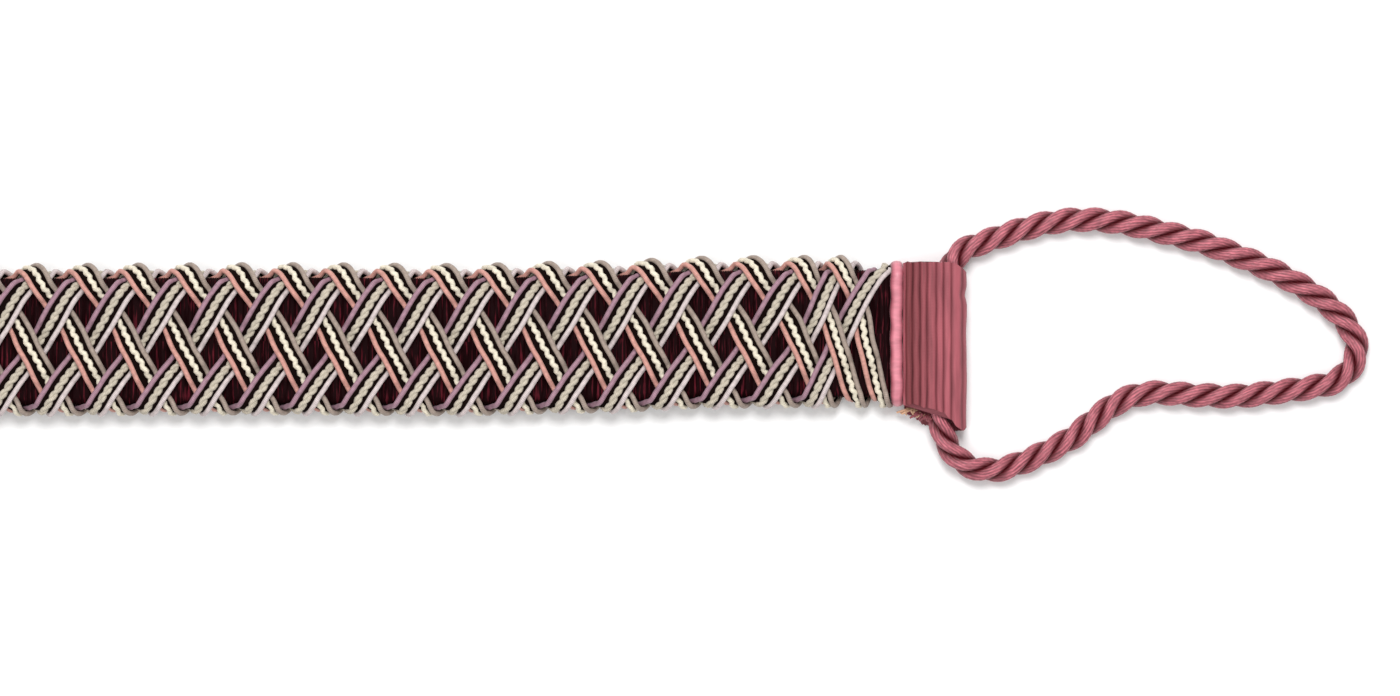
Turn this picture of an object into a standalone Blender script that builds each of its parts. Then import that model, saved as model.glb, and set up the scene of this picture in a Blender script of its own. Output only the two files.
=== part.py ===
"""A curtain tieback: a flat padded band in a plaited sleeve, with a cuff and a rope loop at each end.

The band lies along X with its face up and its underside on the plane z = 0. The origin is under the middle
of the band. Lengths are in metres.
"""

import math

import bmesh
import bpy
from mathutils import Matrix, Vector

MM = 0.001

# The middle surface of the plaited sleeve is a flat tube with round edges.
SLEEVE_WIDTH = 48.0 * MM
SLEEVE_THICKNESS = 10.0 * MM
STRIP_THICKNESS = 1.3 * MM
WEAVE_LIFT = 1.15 * MM  # how far a strip runs above or below the sleeve's middle surface
CLEARANCE = 0.35 * MM

# The plait: four strips each way, so a strip meets eight crossings on its way round the tube.
STRIPS_EACH_WAY = 4
ROWS_ROUND = 2 * STRIPS_EACH_WAY
PITCH = 17.66 * MM  # from one strip to the next of its kind, along the band
RISING_WIDTH = 10.0 * MM  # widths of the strips, measured along the band
FALLING_WIDTH = 10.0 * MM
PLATEAU = 0.3  # share of a pitch each side of a crossing over which a strip stays level
FIRST_ROW_Y = -4.4 * MM  # the crossing row that lies nearest to the centreline
FIRST_CROSSING_X = -52.2 * MM
FRONT_STRETCH = 0.3 * MM  # rows stand a little further apart on the face than on the underside

# The crossing row below the lower edge is drawn further round, so that the rising strips lie over that edge.
LOWER_DRAW = 3.0 * MM
LOWER_ROW = -2.2
LOWER_REACH = 0.9

# How far the strips sway from even slanting lines, along the band: crossing row and millimetres.
RISING_SWAY = (
    (-4.0, 0.0),
    (-2.5, -1.6),
    (-1.5, -2.4),
    (-0.75, -1.1),
    (0.0, 0.0),
    (1.0, 0.0),
    (2.5, 0.8),
    (4.0, 0.0),
)
FALLING_SWAY = (
    (-4.0, 0.0),
    (-2.5, -0.6),
    (-1.0, -0.8),
    (0.0, 0.75),
    (0.75, 2.1),
    (1.25, 1.9),
    (2.5, -0.5),
    (4.0, 0.0),
)

# The plait tightens towards each end, and at the right-hand end its upper rows lean outwards.
TIGHTEN_START = 191.0 * MM
TIGHTEN_RATE = 0.0186 / MM
LEAN_START = 213.0 * MM
LEAN_RUN = 18.0 * MM
LEAN = 4.8 * MM
PLAIT_END = 226.2 * MM

# Tucked ends at the right: (strip, distance round the tube in rows at which it stops).
RISING_TUCKS = {1: 30.1, 2: 29.7}
FALLING_TUCKS = {2: -29.2, 3: -29.2}

# The band lies in a slight wave: x and y of its centreline, in millimetres.
CENTRELINE = (
    (-253.0, -1.7),
    (-190.0, -1.4),
    (-80.0, -1.2),
    (22.0, -0.9),
    (74.0, -1.2),
    (126.0, -0.2),
    (160.0, 1.3),
    (190.0, 1.6),
    (253.0, 1.7),
)

CORE_END = 237.6 * MM
CORE_STATION = 20.0 * MM

PIPING_START = 226.6 * MM
PIPING_END = 230.6 * MM
PIPING_CREST = 1.0 * MM  # above the sleeve's middle surface

CUFF_START = 231.0 * MM
CUFF_END = 253.0 * MM
CUFF_THICKNESS = 12.8 * MM
CUFF_WALL = 1.4 * MM
CUFF_FOLD = 6.2 * MM  # length of the rounded fold, along the band
CUFF_TOP = 26.2 * MM
RIBS = 8
RIB_HEIGHT = 0.5 * MM
FOLD_STEPS = 6

ROPE_RADIUS = 4.3 * MM
ROPE_VALLEY = 0.8  # radius between two strands, as a share of the rope's radius
ROPE_LEAD = 28.0 * MM
ROPE_STRANDS = 3
RINGS_PER_LEAD = 7
STRAND_SPREAD = math.radians(26)  # half the angle over which a strand stands out to the full radius

# The route of the right-hand loop: x, y and height of the rope's centre above its resting height, in mm.
LOOP_ROUTE = (
    (244.2, 0.5, 1.85),
    (244.7, 9.0, 1.85),
    (245.3, 17.0, 1.85),
    (246.3, 23.0, 1.85),
    (248.6, 28.0, 1.6),
    (253.0, 31.4, 1.2),
    (258.8, 33.4, 0.7),
    (266.0, 35.9, 0.3),
    (277.2, 39.2, 0.0),
    (288.1, 40.9, 0.0),
    (299.0, 40.8, 0.0),
    (310.0, 39.2, 0.0),
    (321.7, 36.4, 0.0),
    (333.7, 33.2, 0.0),
    (343.9, 29.5, 0.0),
    (354.5, 25.1, 0.0),
    (363.6, 20.6, 0.0),
    (372.6, 15.2, 0.0),
    (380.2, 9.2, 0.0),
    (385.3, 2.6, 0.0),
    (387.2, -4.2, 0.0),
    (384.6, -10.8, 0.0),
    (378.8, -15.2, 0.0),
    (370.4, -17.0, 0.0),
    (360.4, -18.4, 0.0),
    (345.5, -19.9, 0.0),
    (331.0, -19.5, 0.0),
    (316.4, -18.8, 0.0),
    (306.4, -21.2, 0.0),
    (298.0, -26.8, 0.0),
    (289.8, -33.6, 0.0),
    (281.0, -38.6, 0.0),
    (271.6, -42.8, 0.0),
    (262.2, -45.4, 0.0),
    (252.8, -43.8, 0.3),
    (246.2, -37.4, 1.0),
    (243.4, -29.0, 1.7),
    (243.4, -20.0, 1.85),
    (243.8, -10.0, 1.85),
    (244.2, -0.5, 1.85),
)

COLOURS = {  # linear red, green, blue, then roughness
    "wound core": (0.045, 0.006, 0.012, 0.7),
    "mauve and sage gimp": (0.42, 0.33, 0.32, 0.75),
    "salmon and cream gimp": (0.52, 0.39, 0.31, 0.75),
    "pink satin": (0.60, 0.17, 0.22, 0.35),
    "ribbed rose ribbon": (0.35, 0.08, 0.11, 0.6),
    "rose rope": (0.37, 0.10, 0.13, 0.65),
}


def clear_scene():
    for obj in list(bpy.data.objects):
        bpy.data.objects.remove(obj)


def material(name):
    found = bpy.data.materials.get(name)
    if found:
        return found
    made = bpy.data.materials.new(name)
    made.use_nodes = True
    red, green, blue, roughness = COLOURS[name]
    shader = made.node_tree.nodes["Principled BSDF"]
    shader.inputs["Base Color"].default_value = (red, green, blue, 1)
    shader.inputs["Roughness"].default_value = roughness
    shader.inputs["Metallic"].default_value = 0.0
    return made


def add_object(name, bm, finish):
    """Makes an object of the mesh, with its faces outwards and its round parts shaded smooth."""
    bmesh.ops.recalc_face_normals(bm, faces=bm.faces)
    mesh = bpy.data.meshes.new(name)
    bm.to_mesh(mesh)
    bm.free()
    mesh.shade_smooth()
    mesh.set_sharp_from_angle(angle=math.radians(50))
    mesh.materials.append(material(finish))
    obj = bpy.data.objects.new(name, mesh)
    bpy.context.scene.collection.objects.link(obj)
    return obj


def turned_copy(obj, name):
    """A copy turned half round the vertical axis, for the other end of the band."""
    mesh = obj.data.copy()
    mesh.transform(Matrix.Rotation(math.pi, 4, "Z"))
    copy = bpy.data.objects.new(name, mesh)
    bpy.context.scene.collection.objects.link(copy)
    return copy


def extrude_through(rings, split=None):
    """A closed solid that starts as a face on the first ring and is extruded from ring to ring.

    split, where given, names the pairs of corners (in a ring, in the next ring) that get a diagonal.
    """
    bm = bmesh.new()
    foot = bm.faces.new([bm.verts.new(point) for point in rings[0]])
    cap = foot
    for ring in rings[1:]:
        before = list(cap.verts)
        made = bmesh.ops.extrude_face_region(bm, geom=[cap])["geom"]
        if cap is not foot:
            bmesh.ops.delete(bm, geom=[cap], context="FACES_ONLY")
        cap = next(item for item in made if isinstance(item, bmesh.types.BMFace))
        after = list(cap.verts)
        for corner, point in zip(after, ring):
            corner.co = point
        for first, second in split or ():
            corners = {before[first], after[second]}
            face = next(f for f in before[first].link_faces if corners <= set(f.verts))
            bmesh.utils.face_split(face, before[first], after[second])
    return bm


def centre_y(x):
    """The y of the band's centreline at x, eased from one point of the table to the next."""
    in_mm = x / MM
    if in_mm <= CENTRELINE[0][0]:
        return CENTRELINE[0][1] * MM
    for (x0, y0), (x1, y1) in zip(CENTRELINE, CENTRELINE[1:]):
        if in_mm <= x1:
            share = (in_mm - x0) / (x1 - x0)
            eased = share * share * (3 - 2 * share)
            return (y0 + (y1 - y0) * eased) * MM
    return CENTRELINE[-1][1] * MM


EDGE_RADIUS = SLEEVE_THICKNESS / 2
HALF_FLAT = SLEEVE_WIDTH / 2 - EDGE_RADIUS
ROUND_LENGTH = math.pi * EDGE_RADIUS
GIRTH = 4 * HALF_FLAT + 2 * ROUND_LENGTH
SLEEVE_CENTRE_Z = EDGE_RADIUS + WEAVE_LIFT + STRIP_THICKNESS / 2
CORE_OFFSET = -(WEAVE_LIFT + STRIP_THICKNESS / 2 + CLEARANCE)


def girth_position(row):
    """Distance round the sleeve, from the middle of its face, of a place counted in crossing rows."""
    turn = 2 * math.pi * row / ROWS_ROUND
    from_lower = (row - LOWER_ROW + ROWS_ROUND / 2) % ROWS_ROUND - ROWS_ROUND / 2
    drawn = LOWER_DRAW * math.exp(-((from_lower / LOWER_REACH) ** 2))
    return FIRST_ROW_Y + row * GIRTH / ROWS_ROUND + FRONT_STRETCH * math.sin(turn) - drawn


def section_point(row, offset):
    """(y, z) from the band's axis, of a point that stands offset outside the sleeve's middle surface."""
    along = girth_position(row) % GIRTH
    radius = EDGE_RADIUS + offset
    if along <= HALF_FLAT:
        return along, radius
    along -= HALF_FLAT
    if along <= ROUND_LENGTH:
        angle = along / EDGE_RADIUS
        return HALF_FLAT + radius * math.sin(angle), radius * math.cos(angle)
    along -= ROUND_LENGTH
    if along <= 2 * HALF_FLAT:
        return HALF_FLAT - along, -radius
    along -= 2 * HALF_FLAT
    if along <= ROUND_LENGTH:
        angle = along / EDGE_RADIUS
        return -HALF_FLAT - radius * math.sin(angle), -radius * math.cos(angle)
    return along - ROUND_LENGTH - HALF_FLAT, radius


def on_sleeve(x, row, offset):
    y, z = section_point(row, offset)
    return Vector((x, centre_y(x) + y, SLEEVE_CENTRE_Z + z))


def plait_x(even_x, row):
    """Where a place of the even plait really lies along the band: closer together near the ends."""
    beyond = abs(even_x) - TIGHTEN_START
    if beyond <= 0:
        return even_x
    drawn_in = (math.sqrt(1 + 4 * TIGHTEN_RATE * beyond) - 1) / (2 * TIGHTEN_RATE)
    x = math.copysign(TIGHTEN_START + drawn_in, even_x)
    on_top = max(0.0, math.sin(2 * math.pi * row / ROWS_ROUND)) ** 2
    near_end = min(1.0, max(0.0, (even_x - LEAN_START) / LEAN_RUN))
    return x + LEAN * near_end * on_top


def sway(way, row):
    """How far a rising strip (way 1) or a falling one (way -1) sways aside at a crossing row."""
    table = RISING_SWAY if way > 0 else FALLING_SWAY
    place = (row + ROWS_ROUND / 2) % ROWS_ROUND - ROWS_ROUND / 2
    for (row0, aside0), (row1, aside1) in zip(table, table[1:]):
        if place <= row1:
            return (aside0 + (aside1 - aside0) * (place - row0) / (row1 - row0)) * MM
    return table[-1][1] * MM


def weave(crossings):
    """1 at every even crossing and -1 at every odd one, level over each and sloping in between."""
    distance = abs((crossings + 1) % 2 - 1)
    share = (distance - PLATEAU) / (1 - 2 * PLATEAU)
    return 1 - 2 * min(1.0, max(0.0, share))


def ring_rows():
    """The places round the sleeve, in rows, at which a strip bends: closer together where it bends more."""
    even = [0.5 * i for i in range(2 * ROWS_ROUND)]
    between = [0.25, 0.75, 1.75, 2.25, 2.75, 5.75, 6.25, 6.75]
    return sorted(even + between)


def strip_rows(first, last):
    """Every bending place of a strip that runs from the row first to the row last."""
    turns = range(math.floor(first / ROWS_ROUND), math.ceil(last / ROWS_ROUND) + 1)
    rows = [turn * ROWS_ROUND + place for turn in turns for place in ring_rows()]
    inner = [row for row in rows if first < row < last]
    return [first, *inner, last]


def strip_ring(index, row, way, width):
    """The four corners of a strip's section: way is 1 for a rising strip and -1 for a falling one."""
    met_at = row + (sway(1, row) - sway(-1, row)) / PITCH
    corners = []
    for side in (-0.5, 0.5):
        across = side * width / PITCH
        even_x = FIRST_CROSSING_X + PITCH * (index + across + way * row / 2) + sway(way, row)
        lift = -way * WEAVE_LIFT * weave(across + way * met_at)
        x = plait_x(even_x, row)
        outer = on_sleeve(x, row, lift + STRIP_THICKNESS / 2)
        inner = on_sleeve(x, row, lift - STRIP_THICKNESS / 2)
        corners.append((outer, inner))
    (outer_left, inner_left), (outer_right, inner_right) = corners
    return [outer_left, outer_right, inner_right, inner_left]


def cut_end(bm, x):
    """Cuts the strip square across the band at x and closes the cut."""
    outwards = Vector((math.copysign(1, x), 0, 0))
    geom = [*bm.verts, *bm.edges, *bm.faces]
    bmesh.ops.bisect_plane(bm, geom=geom, plane_co=(x, 0, 0), plane_no=outwards, clear_outer=True)
    bmesh.ops.holes_fill(bm, edges=[e for e in bm.edges if e.is_boundary])


def make_strip(name, index, way, width, finish, tuck=None):
    """One strip of the plait, from the left end to the right end or to where it is tucked away."""
    past_end = PLAIT_END + PITCH * 2.5
    ends = [2 * way * ((x - FIRST_CROSSING_X) / PITCH - index) for x in (-past_end, past_end)]
    first, last = sorted(ends)
    if tuck is not None and way > 0:
        last = tuck
    if tuck is not None and way < 0:
        first = tuck
    rows = strip_rows(first, last)
    if way < 0:
        rows.reverse()
    rings = [strip_ring(index, row, way, width) for row in rows]
    bm = extrude_through(rings, split=((1, 0), (2, 3)))
    cut_end(bm, -PLAIT_END)
    cut_end(bm, PLAIT_END)
    return add_object(name, bm, finish)


def make_core():
    """The padded core, as long as it reaches into both cuffs."""
    steps = round(2 * CORE_END / CORE_STATION)
    rows = [row for row in ring_rows() if 1.5 <= row <= 3 or 5.5 <= row <= 7]
    rings = []
    for step in range(steps + 1):
        x = -CORE_END + 2 * CORE_END * step / steps
        rings.append([on_sleeve(x, row, CORE_OFFSET) for row in rows])
    return add_object("core", extrude_through(rings), "wound core")


def make_piping():
    """A round satin roll round the core, between the plait and the cuff."""
    inner = CORE_OFFSET + CLEARANCE
    middle = (PIPING_START + PIPING_END) / 2
    half = (PIPING_END - PIPING_START) / 2
    profile = [(PIPING_START, inner), (PIPING_END, inner)]
    for degrees in (0, 40, 90, 140, 180):
        angle = math.radians(degrees)
        profile.append((middle + half * math.cos(angle), PIPING_CREST * math.sin(angle)))
    rows = [row for row in ring_rows() if 1.5 <= row <= 3 or 5.5 <= row <= 7]
    bm = bmesh.new()
    rings = []
    for row in rows:
        corners = [bm.verts.new(on_sleeve(x, row, offset)) for x, offset in profile]
        rings.append([bm.edges.new(pair) for pair in zip(corners, corners[1:] + corners[:1])])
    for first, second in zip(rings, rings[1:] + rings[:1]):
        bmesh.ops.bridge_loops(bm, edges=first + second)
    return add_object("piping_right", bm, "pink satin")


def cuff_profile():
    """The folded ribbon's outline seen along Y, as (x, z): ribbed face, fold, flat underside, inside."""
    rib_run = CUFF_END - CUFF_FOLD - CUFF_START
    face = CUFF_THICKNESS - RIB_HEIGHT
    points = []
    for step in range(2 * RIBS + 1):
        x = CUFF_START + rib_run * step / (2 * RIBS)
        points.append((x, face + RIB_HEIGHT * (step % 2)))
    middle = face / 2
    fold_x = CUFF_END - CUFF_FOLD
    for step in range(1, FOLD_STEPS):
        angle = math.pi * step / FOLD_STEPS
        points.append((fold_x + CUFF_FOLD * math.sin(angle), middle + middle * math.cos(angle)))
    points += [(fold_x, 0.0), (CUFF_START, 0.0), (CUFF_START, CUFF_WALL), (fold_x, CUFF_WALL)]
    for step in range(FOLD_STEPS - 1, 0, -1):
        angle = math.pi * step / FOLD_STEPS
        reach = (CUFF_FOLD - CUFF_WALL) * math.sin(angle)
        points.append((fold_x + reach, middle + (middle - CUFF_WALL) * math.cos(angle)))
    points += [(fold_x, face - CUFF_WALL), (CUFF_START, face - CUFF_WALL)]
    return points


def cuff_reach(x, z):
    """(lowest y, highest y) of the ribbon at a point of its outline: a slanted foot, a round top corner."""
    share = (x - CUFF_START) / (CUFF_END - CUFF_START)
    on_face = z / CUFF_THICKNESS
    foot = -24.2 * MM - 5.6 * MM * share - 1.6 * MM * share * (1 - on_face)
    corner = max(0.0, (share - 0.65) / 0.35)
    return foot, CUFF_TOP - 4.5 * MM * corner**2


def make_cuff():
    profile = cuff_profile()
    rings = []
    for share in (0.0, 0.33, 0.67, 1.0):
        ring = []
        for x, z in profile:
            foot, top = cuff_reach(x, z)
            ring.append(Vector((x, foot + (top - foot) * share, z)))
        rings.append(ring)
    return add_object("cuff_right", extrude_through(rings), "ribbed rose ribbon")


def curve_through(route, step):
    """Points an even step apart on the smooth curve through the route's points."""
    fine = []
    padded = [2 * route[0] - route[1], *route, 2 * route[-1] - route[-2]]
    for p0, p1, p2, p3 in zip(padded, padded[1:], padded[2:], padded[3:]):
        for i in range(24):
            t = i / 24
            bend = 2 * p0 - 5 * p1 + 4 * p2 - p3
            swing = 3 * (p1 - p2) + p3 - p0
            fine.append(0.5 * (2 * p1 + (p2 - p0) * t + bend * t * t + swing * t**3))
    fine.append(route[-1].copy())
    length = sum((b - a).length for a, b in zip(fine, fine[1:]))
    count = round(length / step)
    even = [fine[0]]
    travelled = 0.0
    for a, b in zip(fine, fine[1:]):
        span = (b - a).length
        while len(even) < count and travelled + span >= len(even) * length / count:
            even.append(a.lerp(b, (len(even) * length / count - travelled) / span))
        travelled += span
    even.append(fine[-1])
    return even, length


def make_loop():
    """The rope loop, with the three strands of its twist standing out."""
    route = [Vector((x * MM, y * MM, ROPE_RADIUS + z * MM)) for x, y, z in LOOP_ROUTE]
    points, length = curve_through(route, ROPE_LEAD / RINGS_PER_LEAD)
    step = length / (len(points) - 1)
    rings = []
    for i, point in enumerate(points):
        ahead = points[min(i + 1, len(points) - 1)] - points[max(i - 1, 0)]
        side = Vector((0, 0, 1)).cross(ahead).normalized()
        up = ahead.cross(side).normalized()
        twist = -2 * math.pi * i * step / ROPE_LEAD
        ring = []
        for strand in range(ROPE_STRANDS):
            valley = twist + 2 * math.pi * strand / ROPE_STRANDS
            crest = valley + math.pi / ROPE_STRANDS
            shoulders = ((crest - STRAND_SPREAD, 1), (crest + STRAND_SPREAD, 1))
            for angle, share in ((valley, ROPE_VALLEY), *shoulders):
                out = side * math.cos(angle) + up * math.sin(angle)
                ring.append(point + ROPE_RADIUS * share * out)
        rings.append(ring)
    return add_object("loop_right", extrude_through(rings), "rose rope")


def main():
    clear_scene()
    make_core()
    for index in range(STRIPS_EACH_WAY):
        number = index + 1
        name = f"rising_strip_{number}"
        make_strip(name, index, 1, RISING_WIDTH, "mauve and sage gimp", RISING_TUCKS.get(number))
        name = f"falling_strip_{number}"
        make_strip(name, index, -1, FALLING_WIDTH, "salmon and cream gimp", FALLING_TUCKS.get(number))
    turned_copy(make_piping(), "piping_left")
    turned_copy(make_cuff(), "cuff_left")
    turned_copy(make_loop(), "loop_left")


main()
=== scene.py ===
"""The visible curtain tieback: corded strips plaited round a core, with piping, cuffs and rope loops.

It is laid out as an add-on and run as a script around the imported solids. The band lies along X on z = 0 with
its face up. Lengths are in metres; a texture's coordinates on a cord or ribbon are in millimetres.
"""

import math

import bmesh
import bpy
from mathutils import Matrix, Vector, noise


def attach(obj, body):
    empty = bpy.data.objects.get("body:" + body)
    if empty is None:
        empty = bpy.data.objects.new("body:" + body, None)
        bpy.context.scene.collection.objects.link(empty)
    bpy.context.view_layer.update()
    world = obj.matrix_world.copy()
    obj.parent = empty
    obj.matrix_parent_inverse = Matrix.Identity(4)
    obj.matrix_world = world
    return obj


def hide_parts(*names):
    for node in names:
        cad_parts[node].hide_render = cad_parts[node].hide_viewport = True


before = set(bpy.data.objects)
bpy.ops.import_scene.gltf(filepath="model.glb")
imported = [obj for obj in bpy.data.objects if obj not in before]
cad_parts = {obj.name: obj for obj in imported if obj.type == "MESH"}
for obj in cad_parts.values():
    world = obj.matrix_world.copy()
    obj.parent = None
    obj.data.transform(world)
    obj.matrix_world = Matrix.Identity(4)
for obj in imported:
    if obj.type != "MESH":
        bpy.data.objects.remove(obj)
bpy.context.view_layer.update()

bl_info = {
    "name": "Curtain Tieback",
    "version": (1, 0, 0),
    "blender": (4, 5, 0),
    "location": "3D View > Sidebar > Tieback",
    "description": "Builds a plaited curtain tieback with cuffs and rope loops",
    "category": "Mesh",
}

MM = 0.001
UP = Vector((0, 0, 1))
SIDES = ("right", "left")  # the band's two ends
RISING, FALLING = 1, -1  # the way that a strip runs on the band's face, from left to right
KINDS = {RISING: "rising", FALLING: "falling"}

SHARP_ANGLE = math.radians(60)
SAME_PLACE = 0.001 * MM  # points nearer than this are one
CURVE_STEPS = 24  # between two points of a route

# The middle surface of the plaited sleeve is a flat tube with round edges.
SLEEVE_WIDTH = 48.0 * MM
SLEEVE_THICKNESS = 10.0 * MM
STRIP_THICKNESS = 1.3 * MM
WEAVE_LIFT = 1.15 * MM
CLEARANCE = 0.35 * MM
EDGE_RADIUS = SLEEVE_THICKNESS / 2
HALF_FLAT = SLEEVE_WIDTH / 2 - EDGE_RADIUS
ROUND_LENGTH = math.pi * EDGE_RADIUS
GIRTH = 4 * HALF_FLAT + 2 * ROUND_LENGTH
SLEEVE_CENTRE_Z = EDGE_RADIUS + WEAVE_LIFT + STRIP_THICKNESS / 2
CORE_OFFSET = -(WEAVE_LIFT + STRIP_THICKNESS / 2 + CLEARANCE)

# The plait: four strips each way, so a strip meets eight crossings on its way round the tube.
STRIPS_EACH_WAY = 4
ROWS_ROUND = 2 * STRIPS_EACH_WAY
PITCH = 17.66 * MM
OVER = 0.4  # share of a pitch each side of a crossing over which the upper strip stays high
UNDER = 0.33  # and the lower strip low
FIRST_ROW_Y = -4.4 * MM
FIRST_CROSSING_X = -52.2 * MM
FRONT_STRETCH = 0.3 * MM  # the rows lie a little further apart on the band's face than underneath
LOWER_DRAW = 3.0 * MM  # how far the rows near LOWER_ROW are drawn down
LOWER_ROW = -2.2
LOWER_REACH = 0.9
STATIONS_PER_ROW = 20

# How far the strips sway from even slanting lines, along the band: crossing row and millimetres.
SWAY = {
    RISING: (
        (-4.0, 0.0),
        (-2.6, 0.4),
        (-1.5, -2.2),
        (-0.75, -1.1),
        (0.0, 0.0),
        (0.6, 0.0),
        (1.4, -0.7),
        (2.4, 0.8),
        (4.0, 0.0),
    ),
    FALLING: (
        (-4.0, 0.0),
        (-2.5, -0.6),
        (-1.0, -0.8),
        (0.0, 0.75),
        (0.75, 2.1),
        (1.25, 1.9),
        (1.95, 1.5),
        (2.7, -0.5),
        (4.0, 0.0),
    ),
}

# The plait tightens towards each end, and at the right-hand end its upper rows lean outwards.
TIGHTEN_START = 191.0 * MM
TIGHTEN_RATE = 0.0186 / MM
TIGHTEST = {RISING: 0.82, FALLING: 0.7}  # least share of its width that a strip keeps there
LEAN_START = 213.0 * MM
LEAN_RUN = 18.0 * MM
LEAN = 4.8 * MM
PLAIT_END = 226.2 * MM
RUN_ON = 2.5 * PITCH  # how far past the plait's end a strip is worked out, before it is cut there

# The row at which a strip is tucked in beside the right-hand piping, by the strip's number.
TUCKS = {RISING: {1: 30.1, 2: 29.7, 3: 29.3}, FALLING: {2: -29.2, 3: -29.2}}

# x and y of the band's centreline, in millimetres.
CENTRELINE = (
    (-253.0, -1.7),
    (-190.0, -1.4),
    (-80.0, -1.2),
    (22.0, -0.9),
    (74.0, -1.2),
    (126.0, -0.2),
    (160.0, 1.3),
    (190.0, 1.6),
    (253.0, 1.7),
)

# The cords of a strip: distance along the band from the strip's middle, in millimetres, kind and colour.
CORDS = {
    RISING: (
        (-3.9, "plain", "mauve"),
        (0.1, "two-ply", "sage"),
        (3.8, "plain", "lilac"),
    ),
    FALLING: (
        (-3.85, "plain", "salmon"),
        (0.05, "snaking", "cream"),
        (3.45, "plain", "taupe"),
    ),
}

# Every cord wanders a little, the snaking cord swings to the sides, and two plies wind round each other.
# The thickness of the snaking cord and of a ply is a share of a plain cord's.
CORD_WANDER = 0.4 * MM
WANDER_LENGTH = 22 * MM
CORD_SIDES = 10
SNAKE_SWING = 0.36 * MM
SNAKE_THICKNESS = 1.06
PLY_SWING = 0.62 * MM
PLY_THICKNESS = 0.9
PLY_SIDES = 8
GROUND_TOP = -0.2 * MM  # heights of the woven ground, from the middle of the cords
GROUND_FOOT = -0.6 * MM

# The falling strips are drawn in along the lower edge and just behind the upper one: row and reach in rows.
DRAWN_IN_PLACES = ((-2.15, 1.0), (3.15, 0.75))
DRAWN_IN = 1.1 * MM
RISING_DRAWN_IN = 0.7 * DRAWN_IN  # of the rising strips, along the upper edge

# Along the band's upper edge the falling strips stand proud, their right-hand side most.
PROUD_ROW = 2.35
PROUD_REACH = 1.1
PROUD = 0.35 * MM
PROUD_SLOPE = 0.27

# Each thread of the core is a ridge between two grooves; it strays to the sides and its height changes.
CORE_END = 237.6 * MM
CORE_THREAD = 0.8 * MM
CORE_STATIONS = 40
CORE_RIDGE = 0.16  # in millimetres, as is its change
CORE_RIDGE_CHANGE = 0.12
CORE_GROOVE = -0.08 * MM
CORE_STRAY = 0.25 * MM
CORE_PATCH = (1.1 * MM, 14 * MM)  # along and round the core, over which the threads stray alike

# The piping bows towards the middle of the band, ripples along its seam and swells a little.
PIPING_MIDDLE = 228.2 * MM
PIPING_HALF_WIDTH = 2.2 * MM
PIPING_SIDES = 16
PIPING_STATIONS = 132
PIPING_CREST = 1.2 * MM
PIPING_FOOT = -1.9 * MM
PIPING_BOW = 0.3 * MM
PIPING_RIPPLE = 0.12 * MM
RIPPLE_STATIONS = 12
PIPING_SWELL = 0.03
SWELL_STATIONS = 11
PIPING_JOIN = 0.01 * MM

CUFF_START = 231.0 * MM
CUFF_END = 253.0 * MM
CUFF_THICKNESS = 12.8 * MM
CUFF_WALL = 1.4 * MM
CUFF_FOLD = 6.2 * MM
CUFF_TOP = 26.2 * MM
CUFF_TUCK = 0.8 * MM  # how far the ribbon's edge runs in under the piping
CUFF_STATIONS = 48
POINTS_PER_RIB = 8
FOLD_RIBS = 4
RIB_FULLNESS = 0.6  # a rib is half a sine wave at 1 and fuller below it
FOLD_RELIEF = 0.5  # share of the ribs' height on the fold
UNDERSIDE_RELIEF = 0.4

# The ribbon's foot is ragged, its top scalloped and rounded at the corner, its fold set back and notched.
RAGGED_UNDERSIDE = 0.9  # in millimetres, as is the face's
RAGGED_FACE = 0.4
RAGGED_LENGTH = 0.9 * MM
SCALLOP = 0.55 * MM
SCALLOP_LENGTH = 1.4 * MM
CORNER_START = 0.65  # share of the cuff's length
CORNER_DROP = 3.6 * MM
FOLD_SET_BACK = 0.6 * MM
NOTCH_Y = 15 * MM
NOTCH_DEPTH = 0.7 * MM
NOTCH_WIDTH = 2 * MM
RIBBON_DRIFT = 0.25 * MM
DRIFT_PATCH = (5 * MM, 9 * MM)

# Where the grooves between the cuff's ribs lie on its face, in millimetres from its start.
RIB_GROOVES = (0.0, 2.4, 5.0, 7.4, 10.6, 13.1, 15.8)

# The cuff's foot at shares of its length: y in millimetres of the face's edge and of the underside's.
CUFF_FOOT = (
    (0.0, -23.0, -25.6),
    (0.1, -22.6, -26.6),
    (0.36, -24.0, -30.2),
    (0.58, -25.4, -31.6),
    (0.72, -28.0, -31.8),
    (0.82, -30.6, -31.8),
    (0.92, -31.8, -31.8),
    (1.0, -30.4, -31.0),
)

# The loose threads start along the cuff's foot, at shares of its length; the first ones are pale.
FRAYS = 30
FRAY_START = 0.04
FRAY_SPAN = 0.5
FRAY_PALE_END = 0.2
FRAY_ON_FACE = 0.6
FRAY_HEIGHT = 6 * MM
FRAY_RADIUS = 0.36 * MM
FRAY_SIDES = 6

# A strand of the rope is a lobe with yarns on it; they stand out by a share of the rope's radius.
ROPE_STRANDS = 3
ROPE_STEP = 1.0 * MM
STRAND_POINTS = 22
LOBE_ANGLE = math.radians(60)
LOBE_SHARE = 0.97
LOBE_FULLNESS = 0.9
YARNS_PER_STRAND = 7
YARN_RELIEF = 0.022
YARN_LEAD = 0.55  # as a share of the rope's lead

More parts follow.
